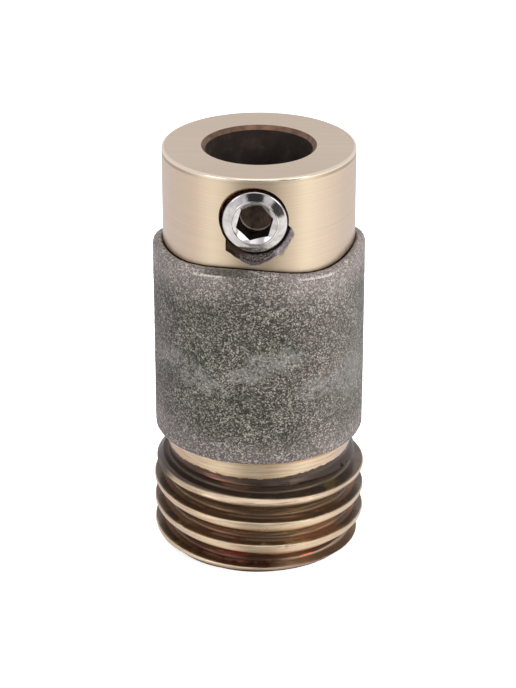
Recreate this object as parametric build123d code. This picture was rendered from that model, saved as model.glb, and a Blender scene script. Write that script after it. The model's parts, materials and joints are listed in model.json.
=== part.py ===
"""Diamond grinding bit: a turned brass core with a threaded foot, a diamond sleeve and a set screw.

Millimetres, +Z up. The origin is on the axis of the shaft bore, in the flat end face of the foot.
The set screw faces -Y.
"""
import os
from math import asin, atan2, ceil, cos, degrees, hypot, radians, sin

from build123d import *

# Core, turned from one bar of brass
total_length = 32.1         # from the foot's end face to the collar's top face
shaft_d = 7.9375            # 5/16 inch motor shaft
shaft_clearance = 0.04      # on the diameter, so that the bit slides on by hand
collar_d = 14.44            # collar, and the body that carries the sleeve
bore_chamfer = 0.3
rim_chamfer = 0.18          # broken edge round the collar's top

# Left-hand thread on the foot
thread_proud = 0.17         # crest outside the sleeve's surface, on the radius
thread_depth = 1.17
thread_pitch = 25.4 / 13    # 13 turns to the inch
thread_length = 6.28        # foot's end face to where the blank starts to taper
shoulder_length = 1.35      # taper from the thread's crest down to the neck
neck_step = 0.05            # the neck stands this much proud of the thread's root
ridge_level = 2.26          # upper flank of a ridge above the end face, on the +X side
runout_angle = 60.0         # where the thread tool left the neck, from +X towards +Y
root_width = 0.56
root_radius = 0.2
crest_land = 0.1
crest_top_radius = 0.2      # nearly sharp upper edge of a ridge
crest_low_radius = 0.9      # full round on its lower side
foot_chamfer = 0.8          # on the radius
foot_chamfer_rise = 0.72

# Diamond sleeve, brazed onto the body
sleeve_wall = 0.75          # makes it 16 mm across the diamond
sleeve_bottom = 9.52        # height of its lower end above the foot's end face
sleeve_top = 24.66          # mean height of its uneven upper lip
lip_waves = (               # waves in a turn, height of each, and the angle it peaks at times its number
    (1, 0.31, -83),
    (2, 0.16, 87),
    (3, 0.1, -60),
    (4, 0.27, -7),
)
lip_radius = 0.5
sleeve_edge = 0.2
braze_gap = 0.03            # between the body and the sleeve, on the radius
braze_mouth = 0.15          # opened corner where the lip meets the collar

# Set screw, no. 10 with a 3/32 inch hexagon socket
screw_d = 4.826
screw_length = 3.175
screw_drop = 3.32           # collar's top face down to the axis of the screw's hole
screw_proud = 0.11          # face ring outside the collar
screw_play = 0.08           # round the screw, on the radius
screw_lean = (0.7, -0.6)    # shares of the play, along X and Z, by which the loose screw has dropped
socket_af = 2.38
socket_depth = 1.6
socket_turn = 15.0          # where the screw stopped turning, degrees
socket_ring_d = 3.28        # ridge between the face cone and the socket's mouth
socket_mouth = 0.22         # depth of the chamfer into the socket
face_cone = 0.3             # drop of the face from that ridge to its rim
face_rim_d = 4.54
cup_d = 2.4
cup_depth = 0.45
screw_point_chamfer = 0.4

# Spot face at the mouth of the tapped hole, cut off its axis by a chattering tool
spot_d = 5.56
spot_depth = 0.5
spot_shift = (0.16, -0.49)  # along X and Z from the hole's axis
spot_sides = 7
spot_turn = 38.5            # from +X towards +Z, degrees, to one of its corners
spot_draft = 6.0

bore_r = (shaft_d + shaft_clearance) / 2
collar_r = collar_d / 2
sleeve_bore_r = collar_r + braze_gap
sleeve_r = sleeve_bore_r + sleeve_wall
crest_r = sleeve_r + thread_proud
root_r = crest_r - thread_depth
neck_r = root_r + neck_step
neck_start = thread_length + shoulder_length
screw_level = total_length - screw_drop
outside = 2.0                   # how far cutting tools reach past the metal


def point(angle, radius, centre=(0.0, 0.0)):
    """A point on a circle, as (x, y)."""
    return (centre[0] + radius * cos(radians(angle)), centre[1] + radius * sin(radians(angle)))


def turned(*outline):
    """A solid of revolution about Z from (radius, height) corners."""
    return revolve(Plane.XZ * make_face(Polyline(*outline, close=True)), Axis.Z)


def core_blank():
    """The turned core before its thread and the screw hole."""
    return turned(
        (bore_r + bore_chamfer, 0),
        (crest_r - foot_chamfer, 0),
        (crest_r, foot_chamfer_rise),
        (crest_r, thread_length),
        (neck_r, neck_start),
        (neck_r, sleeve_bottom),
        (collar_r, sleeve_bottom),
        (collar_r, total_length - rim_chamfer),
        (collar_r - rim_chamfer, total_length),
        (bore_r + bore_chamfer, total_length),
        (bore_r, total_length - bore_chamfer),
        (bore_r, bore_chamfer),
    )


def thread_groove_section():
    """Section of the groove above a ridge, in the XZ plane, with the ridge's upper flank at z = 0.

    The flank is flat on top. The other side runs from the root, tangent to the round under the
    next ridge. Both rounds meet the crest at a slight angle, so that a narrow land is left.
    """
    meet = 15.0
    past = meet - 3.0
    top = (crest_r - crest_top_radius * cos(radians(meet)), -crest_top_radius)
    land_top = point(meet, crest_top_radius, top)[1] + thread_pitch
    low_drop = crest_low_radius * sin(radians(meet))
    low = (crest_r - crest_low_radius * cos(radians(meet)), land_top - crest_land + low_drop)

    root = (root_r, root_width)
    reach = hypot(low[0] - root[0], low[1] - root[1])
    slope = atan2(low[1] - root[1], low[0] - root[0]) - asin(crest_low_radius / reach)
    flank = degrees(slope) - 90
    flank_end = point(flank, crest_low_radius, low)

    upper_round = CenterArc(top, crest_top_radius, past, 90 - past)
    lower_round = CenterArc(low, crest_low_radius, flank, -past - flank)
    out_top = (crest_r + outside, point(past, crest_top_radius, top)[1])
    out_low = (crest_r + outside, point(-past, crest_low_radius, low)[1])
    outline = [
        Line(out_top, upper_round @ 0),
        upper_round,
        Line(upper_round @ 1, (root_r, 0)),
        Line((root_r, 0), root),
        Line(root, flank_end),
        lower_round,
        Line(lower_round @ 1, out_low),
        Line(out_low, out_top),
    ]
    section = make_face(Wire(outline))
    corners = section.vertices().group_by(Axis.X)[0]
    return Plane.XZ * fillet(corners, min(root_radius, 0.4 * root_width))


def thread_grooves():
    """The left-hand helical groove turn by turn, from below the end face to its run-out on the neck."""
    turns_below = ceil(ridge_level / thread_pitch) + 1
    start = ridge_level - turns_below * thread_pitch
    last_turn = 1 - runout_angle / 360
    whole_turns = ceil((neck_start - start) / thread_pitch - last_turn)
    grooves = []
    for turn in range(whole_turns + 1):
        share = 1 if turn < whole_turns else last_turn
        level = start + turn * thread_pitch
        path = Helix(thread_pitch, share * thread_pitch, root_r, center=(0, 0, level), lefthand=True)
        grooves.append(sweep(Pos(0, 0, level) * thread_groove_section(), path, is_frenet=True))
    return grooves


def screw_frame(depth, shift=(0.0, 0.0)):
    """A plane across the screw's axis, depth below the collar's surface, facing out of the hole."""
    centre = (shift[0], depth - collar_r, screw_level + shift[1])
    return Plane(origin=centre, x_dir=(1, 0, 0), z_dir=(0, -1, 0))


def screw_hole():
    """The tapped hole with the chattered spot face at its mouth."""
    hole = extrude(screw_frame(collar_r) * Circle(screw_d / 2 + screw_play), collar_r + outside)
    corners = RegularPolygon(spot_d / 2, spot_sides, rotation=spot_turn)
    spot = extrude(screw_frame(spot_depth, spot_shift) * corners, spot_depth + outside, taper=-spot_draft)
    return hole + spot


def brass_core():
    return core_blank() - thread_grooves() - screw_hole()


def wave_height():
    """The most that the waves can raise or lower the lip."""
    return sum(size for turns, size, high in lip_waves)


def lip_height(angle):
    """Height of the sleeve's upper lip at an angle about Z."""
    return sleeve_top + sum(size * cos(radians(turns * angle - high)) for turns, size, high in lip_waves)


def above_the_lip():
    """Everything over the wavy lip, as a ring wider than the sleeve."""
    steps = 24
    angles = [180 + 360 * step / steps for step in range(steps)]
    rings = []
    for radius in (bore_r, sleeve_r + outside):
        points = [(*point(angle, radius), lip_height(angle)) for angle in angles]
        rings.append(Spline(*points, periodic=True).edge())
    lip = Face.make_surface_from_curves(*rings)
    return extrude(lip, 2 * wave_height() + outside, dir=(0, 0, 1))


def wavy_edges(sleeve, radius):
    """The edges of the lip that run round the axis at one radius."""
    small = 0.01

    def at_radius(edge):
        middle = edge @ 0.5
        return edge.length > radius / 2 and abs(hypot(middle.X, middle.Y) - radius) < small

    return sleeve.edges().filter_by(GeomType.BSPLINE).filter_by(at_radius)


def diamond_sleeve():
    blank_top = sleeve_top + wave_height()
    blank = turned(
        (sleeve_bore_r, sleeve_bottom),
        (sleeve_r, sleeve_bottom),
        (sleeve_r, blank_top),
        (sleeve_bore_r, blank_top),
    )
    sleeve = blank - above_the_lip()
    sleeve = fillet(wavy_edges(sleeve, sleeve_r), min(lip_radius, 0.67 * sleeve_wall))
    sleeve = chamfer(wavy_edges(sleeve, sleeve_bore_r), min(braze_mouth, 0.2 * sleeve_wall))
    foot_edge = sleeve.edges().filter_by(GeomType.CIRCLE).sort_by(SortBy.RADIUS)[-1]
    return fillet(foot_edge, min(sleeve_edge, 0.3 * sleeve_wall))


def set_screw():
    """Turned screw with a cup point, then the hexagon socket with its chamfered mouth."""
    r = screw_d / 2
    rim_drop = r - face_rim_d / 2
    ring_r = socket_ring_d / 2
    body = turned(
        (0, -screw_length + cup_depth),
        (cup_d / 2, -screw_length),
        (r - screw_point_chamfer, -screw_length),
        (r, -screw_length + screw_point_chamfer),
        (r, -face_cone - rim_drop),
        (face_rim_d / 2, -face_cone),
        (ring_r, 0),
        (ring_r - socket_mouth, -socket_mouth),
        (0, -socket_mouth),
    )
    hexagon = RegularPolygon(socket_af / 2, 6, major_radius=False, rotation=socket_turn)
    socket = extrude(Pos(0, 0, -socket_depth) * hexagon, socket_depth)
    lean = (screw_lean[0] * screw_play, screw_lean[1] * screw_play)
    return screw_frame(-screw_proud, lean) * (body - socket)


os.makedirs("parts", exist_ok=True)
export_step(brass_core(), "parts/brass_core.step")
export_step(diamond_sleeve(), "parts/diamond_sleeve.step")
export_step(set_screw(), "parts/set_screw.step")
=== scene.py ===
"""Looks of the diamond grinding bit: brushed and tarnished brass, a grit sleeve and a chromed screw.

Lengths are in millimetres in the part's own frame. Meshes are written in metres.
"""
import json
from math import asin, atan2, ceil, cos, degrees, hypot, pi, radians, sin, sqrt
from random import Random

import bpy
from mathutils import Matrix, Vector, noise


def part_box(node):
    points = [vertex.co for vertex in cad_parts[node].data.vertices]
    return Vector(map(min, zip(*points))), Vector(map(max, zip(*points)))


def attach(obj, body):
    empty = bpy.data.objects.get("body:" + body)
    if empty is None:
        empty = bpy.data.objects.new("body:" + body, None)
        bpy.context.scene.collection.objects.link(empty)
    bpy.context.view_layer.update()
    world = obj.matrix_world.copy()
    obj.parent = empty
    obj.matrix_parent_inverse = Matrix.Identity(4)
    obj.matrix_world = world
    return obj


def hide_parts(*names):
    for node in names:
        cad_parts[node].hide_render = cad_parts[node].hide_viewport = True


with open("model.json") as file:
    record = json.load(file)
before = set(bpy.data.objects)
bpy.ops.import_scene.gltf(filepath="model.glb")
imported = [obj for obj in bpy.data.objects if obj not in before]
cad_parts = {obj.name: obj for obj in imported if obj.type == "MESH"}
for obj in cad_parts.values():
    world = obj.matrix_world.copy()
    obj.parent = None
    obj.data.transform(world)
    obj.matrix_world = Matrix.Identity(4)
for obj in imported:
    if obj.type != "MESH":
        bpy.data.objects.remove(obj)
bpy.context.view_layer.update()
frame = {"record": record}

MM = 0.001
TURN = 2 * pi
WHITE = (1.0, 1.0, 1.0, 1.0)

# Read from the frame
core_low, core_high = (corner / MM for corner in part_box("brass_core"))
sleeve_low, sleeve_high = (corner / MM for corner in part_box("diamond_sleeve"))
screw_low, screw_high = (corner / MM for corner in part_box("set_screw"))
total_length = core_high.z
crest_r = (core_high.x - core_low.x) / 2
sleeve_r = (sleeve_high.x - sleeve_low.x) / 2
sleeve_bottom = sleeve_low.z
screw_r = (screw_high.x - screw_low.x) / 2
screw_x = (screw_high.x + screw_low.x) / 2
screw_z = (screw_high.z + screw_low.z) / 2
screw_face = -screw_low.y
screw_length = screw_high.y - screw_low.y
bore_r = next(m["dims"]["r_mm"] for m in frame["record"]["mounts"] if m["name"] == "shaft_bore")

# Core
collar_r = 7.22
bore_chamfer = 0.3
rim_chamfer = 0.18
core_columns = 480
face_steps = 14

# Left-hand thread on the foot
neck_step = 0.05          # the neck stands this much proud of the thread's root
thread_depth = 1.17
thread_pitch = 25.4 / 13
thread_length = 6.28      # end face to where the blank starts to taper
shoulder_length = 1.35    # taper down to the neck
ridge_level = 2.26        # upper flank of a ridge, on the +X side
runout_angle = 60.0       # where the thread tool left the neck, from +X towards +Y
runout_fade = 8.0         # degrees in which its groove ends there
root_width = 0.56
root_radius = 0.2
crest_land = 0.1
crest_top_radius = 0.2
crest_low_radius = 0.9
crest_meet = 15.0         # degrees at which both rounds meet the crest
foot_chamfer = 0.8
foot_chamfer_rise = 0.72
end_face_edge = 1.4       # last ring of the end face, inside the crest
thread_region_top = 8.7   # the mesh follows the thread up to here
nick_count = 40
nick_seed = 5
root_r = crest_r - thread_depth
neck_r = root_r + neck_step
neck_start = thread_length + shoulder_length

# Screw hole and its spot face, with corners as (angle about the hole from +X towards +Z, radius)
hole_r = 2.493
hole_shift = (-0.056, 0.048)    # hole's axis from the screw's axis, along X and Z
hole_x = screw_x + hole_shift[0]
hole_z = screw_z + hole_shift[1]
mouth_shift = (-0.07, 0.19)     # worn mouth's centre from the hole's axis
mouth_r = 2.49
spot_corners = (
    (214, hole_r),
    (228, 3.09),
    (252, 3.13),
    (266.7, 3.36),
    (277.8, 3.3),
    (304.8, 3.12),
    (313, 3.18),
    (340, 3.1),
    (347.5, 2.78),
    (353, hole_r),
)
spot_floor_depth = 0.5
spot_floor_rough = 0.04
spot_edge_ragged = 0.03
hole_columns = 256

# Sleeve
sleeve_bore_r = collar_r + 0.03
sleeve_top = 24.66        # mean height of its lip
# Waves of the lip: how many in a turn, height, and a peak's angle times that number
lip_waves = ((1, 0.31, -83), (2, 0.16, 87), (3, 0.1, -60), (4, 0.27, -7))
lip_radius = 0.5
sleeve_edge = 0.2
braze_mouth = 0.15
grit_height = 0.035
grit_sink = 0.012         # lowers all of the grit, so that it stays near the plain sleeve
sleeve_columns = 640
sleeve_rows = 132

# Screw
socket_af = 2.38
socket_depth = 1.6
socket_turn = 15.0
floor_shade_edge_r = 1.22     # circle on the socket's floor outside which painted shade makes the socket look deeper
floor_shade_edge_shift = (0.09, 0.13)
ridge_r = 1.64            # ridge between the face cone and the socket's mouth
face_rim_r = 2.27
face_cone = 0.3
cup_depth = 0.45
screw_point_chamfer = 0.4
screw_columns = 192
screw_pitch = 25.4 / 24
screw_thread_depth = 0.45
screw_thread_end = 0.35   # below the face's rim
screw_thread_rows = 60
screw_thread_fade = 10    # rows in which the thread rises to full depth at each end
screw_shade_rows = 4       # rows of it painted near-black as shade, where they lie in the hole's mouth

weld_distance = 0.0004    # points nearer than this are one

# Material numbers of the core, the hole and the screw
foot_mark, collar_mark, face_mark, bore_mark, chamfer_mark, end_mark = range(6)
wall_mark, floor_mark, slope_mark, edge_mark = range(4)
chrome_mark, dark_mark, socket_mark = range(3)

# Wear, tarnish, painted highlight and painted shade of the foot: heights from where each begins to where it
# is complete
low_ridge_levels = (5.2, 4.5)
first_ridge_levels = (4.6, 5.0)
wear_levels = (6.75, 6.6)
root_highlight_levels = (6.2, 5.6)
dark_runout_levels = (6.3, 6.9)
clean_neck_levels = (7.97, 8.08)
foot_band_low = (0.14, 0.24)
foot_band_high = (0.75, 0.68)
foot_shade_levels = (0.8, 0.5)
foot_edge_shadow_levels = (0.36, 0.16)

# Tarnish marks on the foot: (degrees from the screw's side, height, half width, half height, colour)
heat_marks = (
    (-12, 7.4, 20, 0.4, (124, 92, 70)),
    (-26, 7.66, 10, 0.16, (158, 98, 88)),
    (-30, 4.9, 24, 0.4, (124, 100, 78)),
    (-22, 3.0, 24, 0.4, (132, 98, 76)),
    (-8, 3.3, 16, 0.14, (170, 120, 82)),
    (22, 4.85, 14, 0.16, (158, 124, 90)),
    (42, 4.5, 22, 0.5, (136, 110, 84)),
    (44, 2.7, 22, 0.6, (172, 132, 102)),
    (0, 1.15, 70, 0.4, (96, 62, 48)),
    (-10, 1.5, 8, 0.3, (176, 62, 46)),
    (-16, 1.3, 10, 0.16, (190, 84, 96)),
    (44, 0.95, 22, 0.4, (104, 62, 50)),
    (35, 0.72, 9, 0.16, (232, 112, 52)),
    (70, 7.0, 3, 0.3, (24, 18, 16)),
    (63, 7.25, 2.5, 0.2, (24, 18, 16)),
)

# Places of the sleeve rubbed smooth: (degrees from the screw's side, height, half width, half height)
rubbed_places = (
    (-50, 16.9, 20, 1.0),
    (-32, 16.0, 18, 1.0),
    (-4, 16.9, 18, 0.8),
    (12, 18.1, 20, 1.1),
    (40, 15.4, 20, 1.3),
    (62, 15.4, 24, 2.2),
    (150, 17.0, 26, 0.9),
    (-140, 16.4, 30, 0.9),
)

# Camera, fitted to the photograph
image_height_px = 688
focal_px = 2408.57
sensor_size = 36.0        # along the picture's height
camera_pitch = 24.99
camera_turn = 3.0
camera_place = (8.692, -167.274, 93.9)

# Lamps: name, place, width, watts, and the spot that metal mirrors (cosines of edge and core, strength)
light_target = (0, 0, 15)
soft_boxes = (
    ("left_box", (-230, -190, 160), 160, 0.42, (0.96, 0.985, 1.6)),
    ("right_box", (230, -190, 160), 160, 0.75, (0.96, 0.985, 2.0)),
    ("top_box", (0, 20, 320), 260, 0.6, (0.9, 0.96, 0.4)),
)

# Dark places and a bright one that metal mirrors: direction, cosines of edge and core, strength there
dark_places = (
    ((-0.03, -0.9, 0.43), 0.95, 0.98, 0.05),
    ((0.62, -0.78, 0.06), 0.955, 0.985, 0.1),
)
bright_place = ((0.0, -0.45, 0.89), 0.9, 0.97, 0.75)

# Walls of the studio that metal mirrors: share of a turn from the back over -X, and linear colour
studio_walls = (
    (0.0, (0.7, 0.685, 0.705, 1.0)),
    (0.16, (0.72, 0.69, 0.76, 1.0)),
    (0.28, (0.78, 0.74, 0.76, 1.0)),
    (0.345, (1.05, 1.03, 1.0, 1.0)),
    (0.40, (0.85, 0.82, 0.78, 1.0)),
    (0.455, (0.38, 0.36, 0.34, 1.0)),
    (0.545, (0.38, 0.36, 0.34, 1.0)),
    (0.60, (0.88, 0.85, 0.81, 1.0)),
    (0.665, (1.2, 1.18, 1.14, 1.0)),
    (0.73, (1.03, 1.0, 1.0, 1.0)),
    (0.84, (0.8, 0.77, 0.83, 1.0)),
    (1.0, (0.7, 0.685, 0.705, 1.0)),
)
studio_ceiling = (0.71, 0.695, 0.715, 1.0)
diffuse_light = 0.55
floor_size = 600
floor_colour = (0.9, 0.9, 0.9, 1.0)
floor_glow = 0.62         # lifts the floor to white for the camera alone


def smooth_step(low, high, value):
    """0 at low, 1 at high, smooth between. Low may be above high."""
    share = min(1.0, max(0.0, (value - low) / (high - low)))
    return share * share * (3 - 2 * share)


def point(angle, radius, centre=(0.0, 0.0)):
    """A point on a circle, at an angle in degrees."""
    return (centre[0] + radius * cos(radians(angle)), centre[1] + radius * sin(radians(angle)))


def arc(start, end, radius, centre, steps):
    """Points along an arc, both ends included."""
    return [point(start + (end - start) * step / steps, radius, centre) for step in range(steps + 1)]


def line(start, end, steps):
    """Points along a line, without its start."""
    share = [step / steps for step in range(1, steps + 1)]
    return [(start[0] + (end[0] - start[0]) * s, start[1] + (end[1] - start[1]) * s) for s in share]


# Objects and meshes
def add_object(name, data):
    """A new object of the scene."""
    made = bpy.data.objects.new(name, data)
    bpy.context.scene.collection.objects.link(made)
    return made


def ring_faces(columns, rows, closed=False):
    """Quads between the columns of points of a ring. Closed columns join their last row to their first."""
    faces = []
    for column in range(columns):
        here = column * rows
        there = (column + 1) % columns * rows
        for row in range(rows if closed else rows - 1):
            after = (row + 1) % rows
            faces.append((here + row, here + after, there + after, there + row))
    return faces


def mesh_object(name, points, faces, materials, marks=None):
    """A mesh from points in millimetres, with a material number for each face."""
    mesh = bpy.data.meshes.new(name)
    mesh.from_pydata([(x * MM, y * MM, z * MM) for x, y, z in points], [], faces)
    for material in materials:
        mesh.materials.append(material)
    if marks:
        mesh.polygons.foreach_set("material_index", marks)
    mesh.polygons.foreach_set("use_smooth", [True] * len(faces))
    mesh.validate()
    face_outwards(mesh)
    return add_object(name, mesh)


def face_outwards(mesh):
    """Turns all faces over if the mesh is inside out."""
    mesh.calc_loop_triangles()
    corners = [vertex.co for vertex in mesh.vertices]
    volume = 0.0
    for triangle in mesh.loop_triangles:
        a, b, c = (corners[number] for number in triangle.vertices)
        volume += a.dot(b.cross(c))
    if volume < 0:
        mesh.flip_normals()


def apply_modifiers(made):
    """Replaces an object's mesh with the one that its modifiers give."""
    bpy.context.view_layer.update()
    graph = bpy.context.evaluated_depsgraph_get()
    mesh = bpy.data.meshes.new_from_object(made.evaluated_get(graph))
    made.modifiers.clear()
    old = made.data
    made.data = mesh
    bpy.data.meshes.remove(old)
    mesh.name = made.name


def weld(made):
    """Joins points that coincide and drops the faces that vanish."""
    modifier = made.modifiers.new("weld", "WELD")
    modifier.merge_threshold = weld_distance * MM
    apply_modifiers(made)


def cut(made, tool):
    """Takes the tool's solid out of the made one."""
    modifier = made.modifiers.new("cut", "BOOLEAN")
    modifier.operation = "DIFFERENCE"
    modifier.solver = "EXACT"
    modifier.material_mode = "TRANSFER"
    modifier.object = tool
    apply_modifiers(made)
    bpy.data.objects.remove(tool)


def sharpen(made, angle):
    """Shades edges sharp where faces meet at more than an angle in degrees."""
    made.data.set_sharp_from_angle(angle=radians(angle))


# Shader nodes
def as_colour(source):
    """What a colour socket takes. Three sRGB values of 0 to 255 become a linear colour."""
    if not isinstance(source, tuple) or len(source) == 4:
        return source
    shares = [value / 255 for value in source]
    return (*(s / 12.92 if s <= 0.04045 else ((s + 0.055) / 1.055) ** 2.4 for s in shares), 1.0)


def darker(colour, share):
    return tuple(round(value * share) for value in colour)


class Value:
    """A number in a node tree. Arithmetic with it adds math nodes to the tree."""

    def __init__(self, nodes, socket):
        self.nodes = nodes
        self.socket = socket

    def __add__(self, other):
        return self.nodes.math("ADD", self, other)

    def __sub__(self, other):
        return self.nodes.math("SUBTRACT", self, other)

    def __mul__(self, other):
        return self.nodes.math("MULTIPLY", self, other)

    def __truediv__(self, other):
        return self.nodes.math("DIVIDE", self, other)

    def __abs__(self):
        return self.nodes.math("ABSOLUTE", self)


class Nodes:
    """The node tree of a material or world, with short calls for the nodes used here."""

    def __init__(self, owner, output):
        owner.use_nodes = True
        self.owner = owner
        self.tree = owner.node_tree
        self.tree.nodes.clear()
        self.output = self.add(output)

    def add(self, kind, *values, **inputs):
        """A new node with inputs linked or set, in their order or by name."""
        node = self.tree.nodes.new("ShaderNode" + kind)
        for socket, value in zip(node.inputs, values):
            self.link(value, socket)
        for name, value in inputs.items():
            self.link(value, node.inputs[name.replace("_", " ")])
        return node

    def link(self, source, socket):
        """Links a source to a socket, or sets the socket to a constant."""
        if isinstance(source, Value):
            source = source.socket
        if isinstance(source, bpy.types.NodeSocket):
            self.tree.links.new(source, socket)
        elif source is not None:
            socket.default_value = source

    def math(self, operation, *values):
        node = self.add("Math", *values)
        node.operation = operation
        return Value(self, node.outputs[0])

    def largest(self, first, second):
        return self.math("MAXIMUM", first, second)

    def distance(self, across, up):
        return self.math("SQRT", across * across + up * up)

    def vector(self, operation, first, second=None, scale=None):
        node = self.add("VectorMath", first, second)
        node.operation = operation
        if scale is not None:
            self.link(scale, node.inputs["Scale"])
        return node.outputs["Vector"]

    def split(self, source):
        """The three numbers of a vector or colour."""
        return [Value(self, output) for output in self.add("SeparateXYZ", source).outputs]

    def step(self, value, low, high, start=0.0, end=1.0):
        """Start below low, end above high, smooth between. Low may be above high."""
        if low > high:
            low, high, start, end = high, low, end, start
        node = self.add("MapRange", Value=value, From_Min=low, From_Max=high, To_Min=start, To_Max=end)
        node.interpolation_type = "SMOOTHSTEP"
        return Value(self, node.outputs["Result"])

    def near(self, value, centre, inner, outer):
        """1 within the inner distance of a centre, 0 beyond the outer one."""
        return self.step(abs(value - centre), outer, inner)

    def ramp(self, value, *stops):
        """A colour ramp from (position, colour) stops."""
        node = self.add("ValToRGB", value)
        elements = node.color_ramp.elements
        while len(elements) < len(stops):
            elements.new(0.5)
        for element, (position, colour) in zip(elements, stops):
            element.position = position
            element.color = as_colour(colour)
        return node.outputs["Color"]

    def mix(self, share, first, second, blend="MIX"):
        """The first colour where the share is 0, blended with the second where it is 1."""
        node = self.add("Mix")
        node.data_type = "RGBA"
        node.blend_type = blend
        self.link(share, node.inputs["Factor"])
        self.link(as_colour(first), node.inputs["A"])
        self.link(as_colour(second), node.inputs["B"])
        return node.outputs["Result"]

    def layers(self, colour, *layers):
        """A colour with layers over it, each a share, a colour and perhaps a blend."""
        for share, over, *blend in layers:
            colour = self.mix(share, colour, over, *blend)
        return colour

    def choose(self, share, first, second):
        """The first shader where the share is 0, the second where it is 1."""
        return self.add("MixShader", share, first, second).outputs[0]

    def surface(self, shader):
        self.link(shader, self.output.inputs["Surface"])
        return self.owner


class Surface(Nodes):
    """The nodes of a material of the part, with the place on it in millimetres.

    The angle about the part's axis is in radians, 0 at the screw's side and growing towards +X.
    """

    def __init__(self, name):
        super().__init__(bpy.data.materials.new(name), "OutputMaterial")
        self.place = self.vector("SCALE", self.add("TexCoord").outputs["Object"], scale=1 / MM)
        self.x, self.y, self.z = self.split(self.place)
        self.radius = self.distance(self.x, self.y)
        self.angle = self.math("ARCTAN2", self.x, self.y * -1.0)

    def noise(self, size, detail=2.0, roughness=0.5, stretch=(1, 1, 1)):
        """Noise from 0 to 1 with features of about a size, stretched along the axes."""
        place = self.vector("MULTIPLY", self.place, tuple(1 / (size * axis) for axis in stretch))
        node = self.add("TexNoise", Vector=place, Scale=1.0, Detail=detail, Roughness=roughness)
        return Value(self, node.outputs["Fac"])

    def cells(self, size):
        """A random number from 0 to 1 for each cell of about a size."""
        place = self.vector("SCALE", self.place, scale=1 / size)
        return self.split(self.add("TexVoronoi", Vector=place, Scale=1.0).outputs["Color"])[0]

    def patch(self, z, at, level, half_width, half_height):
        """1 at a place on the surface, fading to 0 over a half width in degrees and a half height."""
        across = (self.angle - radians(at)) / radians(half_width)
        up = (z - level) / half_height
        return self.step(across * across + up * up, 1.0, 0.1)

    def from_point(self, x, z):
        """How far a place lies across, up and away from a point, seen from the screw's side."""
        across = self.x - x
        up = self.z - z
        return across, up, self.distance(across, up)

    def turned(self, amount):
        """Shader values that stretch highlights as lines round the part's axis do."""
        node = self.add("Tangent")
        node.direction_type = "RADIAL"
        node.axis = "Z"
        return {"Anisotropic": amount, "Anisotropic_Rotation": 0.25, "Tangent": node.outputs[0]}

    def bump(self, height, depth, normal=None):
        """Bump of a height from 0 to 1 over a depth in millimetres."""
        node = self.add("Bump", Strength=1.0, Distance=depth * MM, Height=height, Normal=normal)
        return node.outputs["Normal"]

    def finish(self, **values):
        """The material, with values for the inputs of its shader."""
        return self.surface(self.add("BsdfPrincipled", **values).outputs[0])


# Materials of the core
def lip_level(nodes):
    """Height of the sleeve's lip at the angle of each place, whose 0 is 90 degrees before +X."""
    level = sleeve_top
    for turns, size, high in lip_waves:
        level = nodes.math("COSINE", nodes.angle * turns - radians(turns * 90 + high)) * size + level
    return level


def collar_shade_and_highlight(nodes, tint, cloud):
    """Painted shade of the gap along the sleeve's lip, painted shade under the rim on both sides, and a rim
    that is smoother and painted pale as a highlight.
    """
    z = nodes.z
    # Painted shade of the narrow gap between the sleeve's lip and the collar
    lip_gap_shade = nodes.step(z - lip_level(nodes), 0.05, -0.03)
    # Painted shade: a darker band just under the rim, on the left and right sides
    rim_side_shade = nodes.step(abs(nodes.angle), 0.5, 0.9) * 0.5 * nodes.near(z, total_length - 0.32, 0.08, 0.17)
    # Painted highlight: the rim is painted near-white, and its roughness is lowered too
    rim = nodes.step(z, total_length - 0.28, total_length - 0.13)
    tint = nodes.layers(tint, (lip_gap_shade, (92, 70, 52)), (rim_side_shade, (150, 124, 88)), (rim, (255, 243, 222)))
    return tint, cloud - rim * 2.0


def brushed_brass(name, colour, roughness, stretch, on_collar=False):
    """Brass with fine lines along the way that the tool went. Roughness goes from low to high."""
    nodes = Surface(name)
    lines = nodes.noise(1.0, 3.0, 0.6, stretch)
    cloud = nodes.noise(3.0)
    tint = nodes.mix(nodes.step(lines, 0.35, 0.65), darker(colour, 0.95), colour)
    if on_collar:
        tint, cloud = collar_shade_and_highlight(nodes, tint, cloud)
    low, high = roughness
    return nodes.finish(
        Base_Color=tint,
        Metallic=1.0,
        Roughness=cloud * (high - low) + low,
        Normal=nodes.bump(lines, 0.001),
        **nodes.turned(0.6),
    )


def above_ridge(nodes):
    """Height above a ridge's upper flank, from three quarters of a pitch below it to a quarter above."""
    turns = nodes.angle / TURN + ((nodes.z - ridge_level) / thread_pitch + 0.5)
    return (nodes.math("FRACT", turns) - 0.75) * thread_pitch


def worn_ridges(nodes, above, low_ridges, facing_up, streaks):
    """1 where ridges are worn bright, which is on their crests and their lower sides."""
    z, step = nodes.z, nodes.step
    right = step(nodes.x, -1.2, 2.0)
    sides = step(abs(nodes.angle + 0.05), 0.65, 1.1)
    first_ridge = step(z, *first_ridge_levels)
    # Where the wear ends below a ridge's upper flank: sooner at both sides, later on the low ridges
    lower = sides * 0.3 - 0.78 + sides * first_ridge * 0.2 + low_ridges * (right * -0.22 - 0.36)
    over = first_ridge * 0.09 + above
    reach = low_ridges * (right * 0.2 + 0.5) + nodes.radius
    lower_side = (
        step(above + (streaks * 0.7 - 0.35) - lower, -0.16, 0.2)
        * step(over, 0.06, 0.02)
        * step(z, *wear_levels)
        * step(facing_up, 0.85, 0.6)
        * step(reach, crest_r - 0.75, crest_r - 0.4)
    )
    crest = step(nodes.radius, crest_r - 0.1, crest_r - 0.04) * step(over, -0.24, -0.14)
    return nodes.largest(lower_side, crest)


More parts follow.
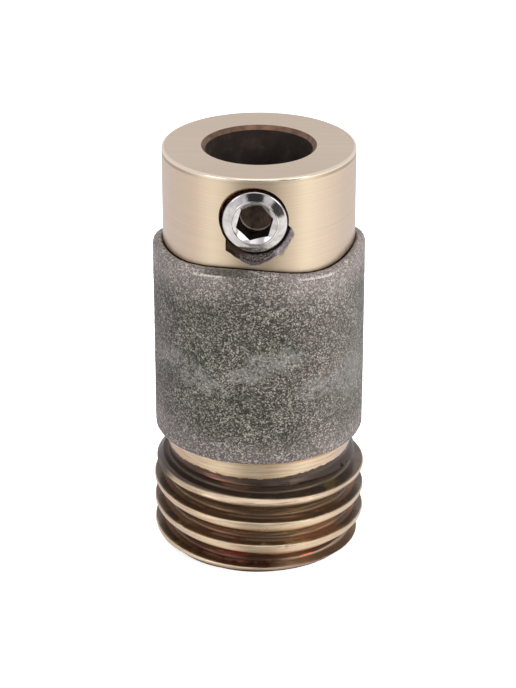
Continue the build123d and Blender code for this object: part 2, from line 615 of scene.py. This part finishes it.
def lean_outwards(nodes, normal, share, above):
    """The normal, leaning outwards on the lower sides of ridges, more so lower down."""
    lean = share * nodes.step(above, -0.1, -0.4) * (above * -2.0 + 0.4)
    outward = nodes.add("CombineXYZ", nodes.x, nodes.y, 0.0).outputs[0]
    outward = nodes.vector("SCALE", nodes.vector("NORMALIZE", outward), scale=lean)
    return nodes.vector("NORMALIZE", nodes.vector("ADD", normal, outward))


def tarnish(nodes, facing_up, streaks, patches, ragged_z):
    """Brown, streaky metal of the grooves, darker at the top, with a painted highlight as a pale ring low on
    the upper flanks.
    """
    z, step = nodes.z, nodes.step
    ends = step(abs(nodes.angle), 0.85, 1.2)
    left = step(nodes.x, 0.8, -1.6) * step(facing_up, 0.3, 0.0)
    # Painted highlight: a pale ring near the root, on faces that face up
    root_highlight = nodes.near(nodes.radius, root_r + 0.34, 0.08, 0.24) * step(z, *root_highlight_levels)
    root_highlight = root_highlight * step(facing_up, 0.25, 0.6)
    in_streaks = step(streaks, 0.35, 0.55)
    marks = [(nodes.patch(ragged_z, *place) * in_streaks, colour) for *place, colour in heat_marks]
    heat = nodes.ramp(
        nodes.noise(3.1, 2.0, 0.5, (1, 1, 0.4)),
        (0.30, (100, 89, 76)),
        (0.44, (120, 102, 78)),
        (0.54, (110, 96, 76)),
        (0.63, (130, 104, 84)),
        (0.72, (110, 96, 78)),
    )
    return nodes.layers(
        heat,
        (step(patches, 0.4, 0.62), (106, 92, 77)),
        (step(streaks, 0.52, 0.62), (164, 142, 106)),
        (ends * 0.85, (112, 100, 91)),
        (step(z, *dark_runout_levels) * 0.85, (80, 69, 64)),
        (left * 0.5, (84, 60, 46)),
        (root_highlight * 0.8, (214, 168, 136)),
        *marks,
    )


def tarnished_brass():
    """Foot: ridges worn bright, tarnished grooves, a cleaner neck above and painted shadow along the edge at
    the end face.
    """
    nodes = Surface("tarnished_brass")
    z, step = nodes.z, nodes.step
    normal = nodes.add("NewGeometry").outputs["Normal"]
    facing_up = nodes.split(normal)[2]
    streaks = nodes.noise(1.0, 4.0, 0.65, (3, 3, 0.12))
    patches = nodes.noise(2.4, 3.0, 0.55, (1, 1, 0.4))
    ragged = nodes.noise(0.8, 4.0, 0.7, (1, 1, 0.6)) * 0.5 - 0.25
    ragged_z = z + nodes.near(nodes.angle, 0.0, 0.1, 0.6) * 0.16 + ragged
    above = above_ridge(nodes)
    low_ridges = step(z, *low_ridge_levels)
    clean_neck = step(ragged_z, *clean_neck_levels)
    foot_band = step(z, *foot_band_low) * step(z, *foot_band_high)
    worn = nodes.largest(worn_ridges(nodes, above, low_ridges, facing_up, streaks), clean_neck)
    normal = lean_outwards(nodes, normal, worn * low_ridges, above)
    bright = nodes.layers(
        nodes.mix(step(streaks, 0.35, 0.6), (204, 180, 150), (228, 206, 178)),
        # Painted shade: darker lower down each ridge's lower side, and low on the foot
        (step(above, -0.4, -1.0) * 0.8, (196, 158, 120)),
        (step(z, *foot_shade_levels) * 0.8, (144, 120, 98)),
    )
    colour = nodes.layers(
        tarnish(nodes, facing_up, streaks, patches, ragged_z),
        (nodes.largest(worn, foot_band), bright),
        # Painted shadow: near-black along the edge of the end face
        (step(z, *foot_edge_shadow_levels) * 0.9, (34, 28, 24)),
    )
    return nodes.finish(
        Base_Color=colour,
        Metallic=0.85,
        Roughness=patches * 0.2 + 0.2,
        Normal=nodes.bump(streaks, 0.006, normal),
        **nodes.turned(0.4),
    )


def bore_brass():
    """Dark, cloudy wall of the shaft bore."""
    nodes = Surface("dark_bore")
    cloud = nodes.noise(1.1, 4.0, 0.6)
    colour = nodes.ramp(cloud, (0.35, (56, 48, 45)), (0.55, (66, 57, 52)), (0.7, (82, 71, 62)))
    fine = nodes.noise(0.25)
    return nodes.finish(Base_Color=colour, Metallic=0.5, Roughness=0.5, Normal=nodes.bump(fine, 0.006))


def dull_brown(name, colour, metallic):
    """Dull metal, a little cloudy."""
    nodes = Surface(name)
    tint = nodes.mix(nodes.step(nodes.noise(0.6, 3.0), 0.35, 0.65), darker(colour, 0.8), colour)
    return nodes.finish(Base_Color=tint, Metallic=metallic, Roughness=0.45)


def torn_metal(name, dark, middle, pale):
    """Spot face torn by a blunt tool, with painted shadow near-black round the hole, and brown on its left.
    """
    nodes = Surface(name)
    fine = nodes.noise(0.14, 3.0, 0.7)
    across, up, away = nodes.from_point(hole_x, hole_z)
    colour = nodes.layers(
        nodes.ramp(fine, (0.32, dark), (0.5, middle), (0.66, pale)),
        # Painted shadow: near-black in a ring next to the hole
        (nodes.step(away, hole_r + 0.3, hole_r + 0.12), (12, 10, 9)),
        (nodes.step(across, -0.3, -1.0) * nodes.step(up, -2.85, -2.6) * 0.85, (74, 55, 43)),
    )
    return nodes.finish(Base_Color=colour, Metallic=0.8, Roughness=0.38, Normal=nodes.bump(fine, 0.03))


# Material of the sleeve
def grit_colour(nodes, blend, cloud):
    """Grey bond with dark and pale grains, cloudy in tone and hue."""
    grit = nodes.ramp(
        blend,
        (0.2, (22, 20, 17)),
        (0.42, (67, 64, 57)),
        (0.58, (107, 103, 94)),
        (0.78, (186, 180, 170)),
    )
    shade = nodes.ramp(cloud, (0.36, (205, 205, 205)), (0.5, (232, 232, 232)), (0.64, (255, 255, 255)))
    hue = nodes.noise(5.0)
    tint = nodes.ramp(hue, (0.4, (244, 255, 236)), (0.5, (250, 250, 248)), (0.6, (255, 240, 238)))
    return nodes.layers(grit, (1.0, shade, "MULTIPLY"), (0.35, tint, "MULTIPLY"))


def rubbed_smooth(nodes, cloud):
    """1 in the ragged places where the grit is rubbed smooth."""
    ragged_z = nodes.z + (cloud * 2.4 - 1.2)
    rubbed = 0.0
    for place in rubbed_places:
        rubbed = nodes.largest(nodes.patch(ragged_z, *place), rubbed)
    return rubbed * nodes.step(nodes.noise(0.5, 3.0, 0.6), 0.36, 0.52)


def lip_gloss_and_highlight(nodes, over_lip):
    """1 on two short lines along the lip, left and right of the screw, which are glossier and painted pale
    as a highlight.
    """
    line_drop = nodes.step(nodes.angle, 0.0, 0.4) * -0.2 + 0.48
    from_line = abs(over_lip + line_drop) + nodes.noise(0.3, 2.0, 0.6) * 0.3
    ends = nodes.largest(nodes.near(nodes.angle, -0.44, 0.1, 0.2), nodes.near(nodes.angle, 0.63, 0.12, 0.26))
    return nodes.step(from_line, 0.26, 0.14) * ends


def diamond_grit():
    """Grey bond full of fine grit, paler at both ends and rubbed smooth in a few places."""
    nodes = Surface("diamond_grit")
    x, z, step = nodes.x, nodes.z, nodes.step
    tone = nodes.cells(0.1)
    fine = nodes.noise(0.075, 2.0, 0.6)
    cloud = nodes.noise(2.6, 4.0, 0.6)
    over_lip = z - lip_level(nodes)
    upper_end = step(over_lip, -3.4, -0.6) * (step(abs(x), 0.6, 3.2) * 0.57 + 0.35)
    low_left = step(z, 13.5, 10.8) * step(x, -2.0, -5.5)
    lower_end = step(z, 12.2, 9.9) + low_left * 0.5
    specks = step(nodes.noise(0.13, 1.0), 0.6, 0.68)
    rubbed = rubbed_smooth(nodes, cloud)
    # Painted shade of a hollow under the lip, left of the screw
    lip_hollow_shade = step(over_lip, -0.46, -0.34) * step(over_lip, 0.02, -0.06)
    lip_hollow_shade = lip_hollow_shade * nodes.near(nodes.angle, -0.26, 0.14, 0.3)
    gloss_and_highlight = lip_gloss_and_highlight(nodes, over_lip)
    colour = nodes.layers(
        grit_colour(nodes, tone * 0.5 + fine * 0.5, cloud),
        # Painted light: lighter towards +X, the side of the brighter lamp
        (step(x, 1.6, 6.8), (62, 58, 56), "ADD"),
        (upper_end, (110, 100, 101), "ADD"),
        (lower_end, (80, 72, 74), "ADD"),
        (specks * 0.75, (40, 38, 34)),
        (rubbed * 0.3, (136, 133, 130)),
        (rubbed, (60, 60, 60), "ADD"),
        (lip_hollow_shade * 0.75, (52, 50, 40)),
        # Painted highlight on the lip's two glossier lines
        (gloss_and_highlight * 0.7, (226, 221, 214)),
    )
    return nodes.finish(
        Base_Color=colour,
        Metallic=0.2,
        Roughness=gloss_and_highlight * -0.2 + 0.45,
        Normal=nodes.bump(tone + fine, 0.05),
    )


# Materials of the screw
def chrome():
    """Bright plating, very slightly uneven."""
    nodes = Surface("chrome")
    return nodes.finish(
        Base_Color=nodes.ramp(nodes.noise(0.5), (0.3, (196, 192, 192)), (0.6, (226, 222, 222))),
        Metallic=1.0,
        Roughness=0.09,
        Normal=nodes.bump(nodes.noise(0.3), 0.003),
    )


def socket_walls():
    """Near-black walls of the socket, also used as painted shade on the screw's side in the hole's mouth."""
    nodes = Surface("socket_walls")
    colour = nodes.ramp(nodes.noise(0.4, 3.0), (0.3, (26, 22, 18)), (0.6, (44, 36, 30)))
    return nodes.finish(Base_Color=colour, Metallic=0.7, Roughness=0.4)


def socket_floor():
    """Brown floor with painted shade outside a circle, which makes the socket look deeper, and a painted
    highlight on that circle's lower side.
    """
    nodes = Surface("socket_floor")
    shift_x, shift_z = floor_shade_edge_shift
    _, up, away = nodes.from_point(screw_x + shift_x, screw_z + shift_z)
    # Painted highlight along the circle's lower side
    rim = nodes.near(away, floor_shade_edge_r, 0.02, 0.07) * nodes.step(up, 0.1, -0.3)
    colour = nodes.layers(
        nodes.ramp(nodes.noise(0.4, 3.0), (0.3, (62, 50, 42)), (0.6, (92, 76, 64))),
        (rim * 0.8, (170, 152, 140)),
        # Painted shade outside the circle
        (nodes.step(away, floor_shade_edge_r + 0.03, floor_shade_edge_r + 0.08), (20, 16, 13)),
    )
    return nodes.finish(Base_Color=colour, Metallic=0.7, Roughness=0.4)


# Core
def blank_radius(z):
    """Radius of the turned blank of the foot and neck at a height."""
    if z < foot_chamfer_rise:
        return crest_r - foot_chamfer * (1 - max(z, 0.0) / foot_chamfer_rise)
    if z < thread_length:
        return crest_r
    if z < neck_start:
        return crest_r + (neck_r - crest_r) * (z - thread_length) / shoulder_length
    return neck_r


def groove_profile():
    """(radius, rise) points of one pitch, from a ridge's crest over its upper flank to the next crest."""
    meet = radians(crest_meet)
    top = (crest_r - crest_top_radius * cos(meet), -crest_top_radius)
    land_top = point(crest_meet, crest_top_radius, top)[1] + thread_pitch
    low_drop = crest_low_radius * sin(meet)
    low = (crest_r - crest_low_radius * cos(meet), land_top - crest_land + low_drop)
    root = (root_r, root_width)
    reach = hypot(low[0] - root[0], low[1] - root[1])
    slope = atan2(low[1] - root[1], low[0] - root[0]) - asin(crest_low_radius / reach)
    flank = degrees(slope) - 90
    flank_end = point(flank, crest_low_radius, low)
    points = arc(crest_meet, 90, crest_top_radius, top, 5)
    points += line(points[-1], (root_r + root_radius, 0), 4)
    points += arc(270, 180, root_radius, (root_r + root_radius, root_radius), 3)[1:]
    points += line(points[-1], (root_r + 0.02, root_width - 0.04), 1)
    points += line(points[-1], flank_end, 4)
    points += arc(flank, -crest_meet, crest_low_radius, low, 8)[1:]
    return points


def foot_rows():
    """Columns of points of the foot and the lower neck from the end face up, and how many a pitch has.

    A left-hand ridge drops as the angle grows, so the last column meets the first one a pitch lower.
    """
    profile = groove_profile()
    turns_below = ceil(ridge_level / thread_pitch) + 1
    start = ridge_level - turns_below * thread_pitch
    last_turn = 1 - runout_angle / 360
    whole_turns = ceil((neck_start - start) / thread_pitch - last_turn)
    end = whole_turns + last_turn
    ridges = range(-1, ceil((thread_region_top - start) / thread_pitch) + 2)
    columns = []
    for column in range(core_columns):
        angle = TURN * column / core_columns
        raw = []
        for ridge in ridges:
            share = ridge - angle / TURN
            level = start + thread_pitch * share
            depth = smooth_step(0.0, runout_fade / 360, end - share)
            for radius, rise in profile:
                z = level + rise
                blank = blank_radius(z)
                raw.append((blank + (min(radius, blank) - blank) * depth, z))
        columns.append(clamp_column(raw))
    return columns, len(profile)


def clamp_column(raw):
    """Moves what lies below the end face or above the region's top onto those levels."""
    def crossing(level):
        for (r0, z0), (r1, z1) in zip(raw, raw[1:]):
            if z0 <= level < z1:
                return r0 + (r1 - r0) * (level - z0) / (z1 - z0)
        return raw[-1][0]

    foot = (crossing(0.0), 0.0)
    top = (crossing(thread_region_top), thread_region_top)
    return [foot if z < 0 else top if z > thread_region_top else (radius, z) for radius, z in raw]


def upper_rows():
    """(radius, height, material) rings from the neck over the collar and down the bore to the end face."""
    rings = [(neck_r, 9.1, foot_mark), (neck_r, sleeve_bottom, collar_mark)]
    rings += [(collar_r, z, collar_mark) for z in (sleeve_bottom, 12.0, 16.0, 20.0, 22.0)]
    # Close rings where the screw's hole is cut
    height = 22.5
    while height < total_length - rim_chamfer - 0.1:
        rings.append((collar_r, height, collar_mark))
        height += 0.4
    rim = (collar_r - rim_chamfer, total_length - rim_chamfer)
    rings += [(r, z, collar_mark) for r, z in arc(0, 90, rim_chamfer, rim, 5)[:-1]]
    inner = bore_r + bore_chamfer
    for step in range(face_steps):
        rings.append((rim[0] + (inner - rim[0]) * step / face_steps, total_length, face_mark))
    rings.append((inner, total_length, chamfer_mark))
    rings.append((bore_r + bore_chamfer / 2, total_length - bore_chamfer / 2, chamfer_mark))
    rings.append((bore_r, total_length - bore_chamfer, bore_mark))
    height = total_length - 1.0
    while height > bore_chamfer + 0.5:
        rings.append((bore_r, height, bore_mark))
        height -= 1.0
    rings.append((bore_r, bore_chamfer, chamfer_mark))
    rings += [(r, 0.0, end_mark) for r in (bore_r + bore_chamfer, crest_r - end_face_edge)]
    return rings


def crest_nicks():
    """(angle, height, half width in degrees, depth) of small dents on the ridges' edges."""
    random = Random(nick_seed)
    nicks = []
    for _ in range(nick_count):
        angle = random.uniform(0, 360)
        turn = random.randrange(0, 4)
        level = ridge_level - thread_pitch + thread_pitch * (turn - angle / 360)
        nicks.append((angle, level, random.uniform(0.8, 2.6), random.uniform(0.015, 0.05)))
    return nicks


def worn_point(x, y, z, nicks):
    """A point of the foot moved by the unevenness and the nicks of a used thread."""
    radius = hypot(x, y)
    if z <= 0.0 or radius < root_r - 0.3:
        return (x, y, z)
    fade = smooth_step(0.0, 0.3, z) * smooth_step(thread_region_top, thread_region_top - 0.6, z)
    place = Vector((x, y, z))
    high = smooth_step(root_r, crest_r, radius)
    # Slow and quick unevenness of the radius and of the height
    move = 0.012 * noise.noise(place * 0.9) + 0.008 * noise.noise(place * 3.1)
    lift = 0.02 * noise.noise(place * 0.7 + Vector((9, 0, 0))) + 0.008 * noise.noise(place * 2.7)
    angle = degrees(atan2(y, x)) % 360
    half_height = 0.5
    for at, level, half, depth in nicks:
        away = abs((angle - at + 180) % 360 - 180)
        up = abs(z - level)
        if away < half * 1.5 and up < half_height:
            move -= depth * smooth_step(half * 1.5, half * 0.3, away) * smooth_step(half_height, 0.1, up)
    moved_r = radius + move * fade * high
    return (x * moved_r / radius, y * moved_r / radius, z + lift * fade * high)


def core_mesh(materials):
    """The whole core as columns of points that close on themselves, without the screw's hole."""
    columns, per_pitch = foot_rows()
    rings = upper_rows()
    nicks = crest_nicks()
    foot_count = len(columns[0])
    count = foot_count + len(rings)
    marks_by_row = [foot_mark] * foot_count + [mark for _, _, mark in rings]
    points = []
    faces = []
    marks = []
    for number, column in enumerate(columns):
        angle = TURN * number / core_columns
        across, along = cos(angle), sin(angle)
        points += [worn_point(radius * across, radius * along, z, nicks) for radius, z in column]
        points += [(radius * across, radius * along, z) for radius, z, _ in rings]
        here = number * count
        there = (number + 1) % core_columns * count
        first = per_pitch if number == core_columns - 1 else 0
        for row in range(first, count):
            after = (row + 1) % count
            drop = first if row < foot_count - 1 else 0
            faces.append((here + row, there + row - drop, there + after - drop, here + after))
            marks.append(marks_by_row[row])
    return mesh_object("core", points, faces, materials, marks)


def mouth_radius(angle):
    """Radius of the hole's uneven mouth about the hole's axis, at an angle in degrees."""
    x, z = mouth_shift
    along = x * cos(radians(angle)) + z * sin(radians(angle))
    return along + sqrt(mouth_r ** 2 - x ** 2 - z ** 2 + along ** 2)


def spot_outline(angle):
    """Radius of the spot face's outline in the collar's surface about the hole's axis."""
    for (angle_a, radius_a), (angle_b, radius_b) in zip(spot_corners, spot_corners[1:]):
        if angle_a <= angle <= angle_b:
            a = Vector(point(angle_a, radius_a))
            span = Vector(point(angle_b, radius_b)) - a
            way = Vector(point(angle, 1.0))
            return (a.x * span.y - a.y * span.x) / (way.x * span.y - way.y * span.x)
    return hole_r


def hole_points(angle):
    """Points of the hole and its spot face at an angle, from deep inside to outside the collar."""
    def at(radius, depth, floor_y=-100.0):
        """A point at a depth below the collar's surface, or on a flat floor where that lies deeper."""
        across, up = point(angle, radius)
        x = hole_x + across
        surface = -sqrt(collar_r ** 2 - x ** 2)
        return (x, max(surface + depth, floor_y), hole_z + up)

    outline = spot_outline(angle)
    mouth = max(mouth_radius(angle), hole_r) + 0.01
    if outline < mouth + 0.02:
        high = mouth
        low_point = at(hole_r + 0.004, 0.45)
        low_edge = at(hole_r + 0.008, 0.3)
    else:
        high = outline + spot_edge_ragged * noise.noise(Vector((angle * 0.15, 1.0, 3.0)))
        # The sloping edge is wide on the lower right
        slope = 0.12 + 0.36 * smooth_step(288, 316, angle)
        rough = spot_floor_rough * noise.noise(Vector((*point(angle, 3.0), 0.5)))
        floor_y = spot_floor_depth - collar_r + rough
        low_point = at(max(hole_r + 0.004, high - slope), 0.16, floor_y)
        low_edge = at(max(hole_r + 0.04, high - slope + 0.045), 0.16, floor_y - 0.06)
    deep_x, _, deep_z = at(hole_r, 0.0)
    return [
        (deep_x, -bore_r + 0.6, deep_z),
        (deep_x, low_point[1] + 0.02, deep_z),
        low_point,
        low_edge,
        at(high, -0.004),
        at(high + 0.02, -0.5),
    ]


def hole_marks(angle):
    """Material numbers of the faces of a column of the hole, from deep inside out."""
    if not 216 < angle < 352:
        return [wall_mark] * 5
    edge = edge_mark if 282 < angle < 322 else floor_mark
    slope = floor_mark if angle < 250 else slope_mark
    return [wall_mark, floor_mark, edge, slope, slope]


def hole_tool():
    """Solid of the tapped hole and its spot face, to cut from the core."""
    materials = (
        dull_brown("hole_brown", (150, 112, 88), 0.1),
        torn_metal("torn_floor", (44, 39, 35), (96, 88, 82), (172, 163, 157)),
        torn_metal("torn_slope", (120, 108, 110), (158, 146, 150), (196, 184, 188)),
        torn_metal("torn_edge", (190, 182, 180), (222, 215, 212), (240, 234, 230)),
    )
    points = []
    marks = []
    for column in range(hole_columns):
        angle = 360 * column / hole_columns
        points += hole_points(angle)
        marks += hole_marks(angle)
    count = len(points) // hole_columns
    faces = ring_faces(hole_columns, count)
    faces.append([column * count for column in range(hole_columns)])
    faces.append([column * count + count - 1 for column in reversed(range(hole_columns))])
    marks += [wall_mark, wall_mark]
    return mesh_object("hole_tool", points, faces, materials, marks)


def make_core():
    lathe_roughness = (0.26, 0.34)
    materials = (
        tarnished_brass(),
        brushed_brass("brushed_brass", (238, 219, 193), lathe_roughness, (40, 40, 0.05), on_collar=True),
        brushed_brass("sanded_brass", (236, 217, 194), lathe_roughness, (40, 0.06, 40)),
        bore_brass(),
        dull_brown("chamfer_brown", (122, 95, 76), 0.7),
        brushed_brass("end_brass", (206, 182, 150), (0.3, 0.4), (3, 3, 3)),
    )
    core = core_mesh(materials)
    weld(core)
    cut(core, hole_tool())
    sharpen(core, 40)
    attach(core, "root")
    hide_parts("brass_core")


# Sleeve
def lip_height(angle):
    """Height of the sleeve's lip at an angle in radians from +X."""
    return sleeve_top + sum(size * cos(turns * angle - radians(high)) for turns, size, high in lip_waves)


def sleeve_profile(angle):
    """(radius, height, roughness share) points round the sleeve's section, starting at its inner foot."""
    top = lip_height(angle)
    centre_low = (sleeve_r - sleeve_edge, sleeve_bottom + sleeve_edge)
    centre_high = (sleeve_r - lip_radius, top - lip_radius)
    outside = arc(-90, 0, sleeve_edge, centre_low, 3)
    outside += line(outside[-1], (sleeve_r, centre_high[1]), sleeve_rows - 1)
    outside += arc(0, 90, lip_radius, centre_high, 9)[1:]
    rows = [(sleeve_bore_r, sleeve_bottom, 0.0), (sleeve_bore_r + 0.3, sleeve_bottom, 0.6)]
    rows += [(r, z, 1.0) for r, z in outside]
    rows += [(sleeve_bore_r + braze_mouth, top, 0.6), (sleeve_bore_r, top - braze_mouth, 0.0)]
    return rows


def grain(place):
    """Height of the grit at a place, from about -1 to 1."""
    cell = noise.cell(place * 6.5)
    rough = noise.noise(place * 7.0)
    lumps = noise.noise(place * 1.3)
    return 0.55 * rough + 0.35 * (cell - 0.5) + 0.5 * lumps


def sleeve_points(angle):
    """Points round the sleeve's section at an angle, each moved along its normal by the grit."""
    rows = sleeve_profile(angle)
    points = []
    for number, (radius, z, share) in enumerate(rows):
        before = rows[number - 1]
        after = rows[(number + 1) % len(rows)]
        along = Vector((after[0] - before[0], after[1] - before[1])).normalized()
        place = Vector((radius * cos(angle), radius * sin(angle), z))
        high = grit_height * share * grain(place) - grit_sink * share
        out = radius + high * along.y
        points.append((out * cos(angle), out * sin(angle), z - high * along.x))
    return points


def make_sleeve():
    points = []
    for column in range(sleeve_columns):
        points += sleeve_points(TURN * column / sleeve_columns)
    faces = ring_faces(sleeve_columns, len(points) // sleeve_columns, closed=True)
    sleeve = mesh_object("sleeve", points, faces, (diamond_grit(),))
    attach(sleeve, "root")
    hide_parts("diamond_sleeve")


# Screw
def hex_radius(angle):
    """Radius of the socket's wall at an angle about the screw's axis, in degrees."""
    return socket_af / 2 / cos(radians((angle - socket_turn) % 60 - 30))


def screw_thread(angle):
    """(radius, depth, material) points along the fine thread, from the point towards the face."""
    start = screw_length - screw_point_chamfer
    end = face_cone + screw_thread_end
    rows = []
    for step in range(screw_thread_rows + 1):
        depth = start + (end - start) * step / screw_thread_rows
        vee = abs(2 * ((depth / screw_pitch + angle / 360) % 1.0) - 1)
        fade = min(1.0, step / screw_thread_fade, (screw_thread_rows - step) / screw_thread_fade)
        # The last rows are painted near-black as shade in the hole's mouth
        mark = chrome_mark if step < screw_thread_rows - screw_shade_rows else dark_mark
        rows.append((screw_r - screw_thread_depth * vee * fade, depth, mark))
    return rows


def screw_rows(angle):
    """(radius, depth, material) points from the cup point round the outside into the socket."""
    cup = ((0.0, cup_depth), (1.15, 0.05), (1.25, 0.0))
    chamfer = ((screw_r - screw_point_chamfer, 0.0), (screw_r - 0.02, screw_point_chamfer - 0.02))
    rows = [(radius, screw_length - rise, chrome_mark) for radius, rise in cup + chamfer]
    rows += screw_thread(angle)
    corner = 0.06
    # Painted shade: the screw's side at the face's rim is near-black
    rows.append((screw_r, face_cone + (screw_r - face_rim_r) + 0.05, dark_mark))
    rows.append((face_rim_r + corner, face_cone + corner, dark_mark))
    slope = face_cone / (face_rim_r - ridge_r)
    face = (
        (face_rim_r + 0.02, face_cone + 0.012),
        (face_rim_r - 0.03, face_cone - 0.012),
        (ridge_r + 0.3, 0.3 * slope),
        (ridge_r + 0.12, 0.12 * slope + 0.012),
        (ridge_r + 0.07, 0.05),
        (ridge_r + 0.03, 0.016),
        (ridge_r, 0.008),
        (ridge_r - 0.05, 0.022),
        (ridge_r - 0.09, 0.065),
    )
    rows += [(radius, depth, chrome_mark) for radius, depth in face]
    wall = hex_radius(angle)
    depth = 0.06 + 0.35 * (ridge_r - wall)
    soft = 0.03
    rows += [(wall + soft, depth - soft, chrome_mark), (wall + soft * 0.3, depth - soft * 0.1, chrome_mark)]
    rows += [(wall, z, dark_mark) for z in (depth + soft, (depth + socket_depth) / 2, socket_depth - 0.02)]
    floor = ((wall - 0.02, 0.0), (0.5, 0.16), (0.0, 0.3))
    rows += [(radius, socket_depth + drop, socket_mark) for radius, drop in floor]
    return rows


def make_screw():
    points = []
    for column in range(screw_columns):
        angle = 360 * column / screw_columns
        rows = screw_rows(angle)
        for radius, depth, _ in rows:
            across, up = point(angle, radius)
            points.append((screw_x + across, depth - screw_face, screw_z + up))
    marks = [mark for _, _, mark in rows[1:]] * screw_columns
    faces = ring_faces(screw_columns, len(rows))
    screw = mesh_object("screw", points, faces, (chrome(), socket_walls(), socket_floor()), marks)
    weld(screw)
    sharpen(screw, 35)
    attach(screw, "root")
    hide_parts("set_screw")


# Studio
def make_world():
    """Plain light for diffuse surfaces, a studio for metal to mirror, and white for the camera."""
    world = bpy.data.worlds.new("studio")
    bpy.context.scene.world = world
    nodes = Nodes(world, "OutputWorld")
    x, y, z = nodes.split(nodes.add("TexCoord").outputs["Generated"])

    def spot(direction, low, high, start, end):
        """A value that goes from start to end as a ray nears a direction, over a range of the cosine."""
        way = Vector(direction).normalized()
        return nodes.step(x * way.x + y * way.y + z * way.z, low, high, start, end)

    walls = nodes.ramp(nodes.math("ARCTAN2", x, y * -1.0) / TURN + 0.5, *studio_walls)
    colour = nodes.mix(nodes.step(z, 0.0, 0.25), walls, studio_ceiling)
    strength = 1.0
    for direction, low, high, dark in dark_places:
        strength = spot(direction, low, high, 1.0, dark) * strength
    lamps = [(Vector(place) - Vector(light_target), *mirrored) for _, place, _, _, mirrored in soft_boxes]
    for direction, low, high, glow in (bright_place, *lamps):
        strength = strength + spot(direction, low, high, 0.0, glow)

    plain = nodes.add("Background", Color=WHITE, Strength=diffuse_light).outputs[0]
    mirrored = nodes.add("Background", Color=colour, Strength=strength).outputs[0]
    seen = nodes.add("Background", Color=WHITE, Strength=1.0).outputs[0]
    path = nodes.add("LightPath")
    lit = nodes.choose(path.outputs["Is Glossy Ray"], plain, mirrored)
    nodes.surface(nodes.choose(path.outputs["Is Camera Ray"], lit, seen))


def make_floor():
    """A floor that takes the part's shadow, white to the camera and not mirrored by metal."""
    nodes = Nodes(bpy.data.materials.new("floor"), "OutputMaterial")
    diffuse = nodes.add("BsdfDiffuse", Color=floor_colour).outputs[0]
    glow = nodes.add("Emission", Strength=floor_glow).outputs[0]
    both = nodes.add("AddShader", diffuse, glow).outputs[0]
    seen = nodes.add("LightPath").outputs["Is Camera Ray"]
    material = nodes.surface(nodes.choose(seen, diffuse, both))
    corners = [(x * floor_size, y * floor_size, 0) for x, y in ((-1, -1), (1, -1), (1, 1), (-1, 1))]
    floor_object = mesh_object("floor", corners, [(0, 1, 2, 3)], (material,))
    floor_object.visible_glossy = False


def make_lights():
    """Square lamps for the diffuse light. Metal mirrors soft spots of the world in their place."""
    for name, place, size, watts, _ in soft_boxes:
        light = bpy.data.lights.new(name, "AREA")
        light.shape = "SQUARE"
        light.size = size * MM
        light.energy = watts
        lamp = add_object(name, light)
        lamp.location = Vector(place) * MM
        away = Vector(light_target) - Vector(place)
        lamp.rotation_euler = away.to_track_quat("-Z", "Y").to_euler()
        lamp.visible_glossy = False


def make_camera():
    camera = bpy.data.cameras.new("camera")
    camera.sensor_width = sensor_size
    camera.lens = focal_px / image_height_px * sensor_size
    camera.clip_start = 10 * MM
    camera.clip_end = 10.0
    stand = add_object("camera", camera)
    stand.location = Vector(camera_place) * MM
    stand.rotation_euler = (radians(90 - camera_pitch), 0, radians(camera_turn))
    bpy.context.scene.camera = stand


make_camera()
make_world()
make_floor()
make_lights()
make_core()
make_sleeve()
make_screw()
bpy.context.scene.view_settings.view_transform = "Standard"
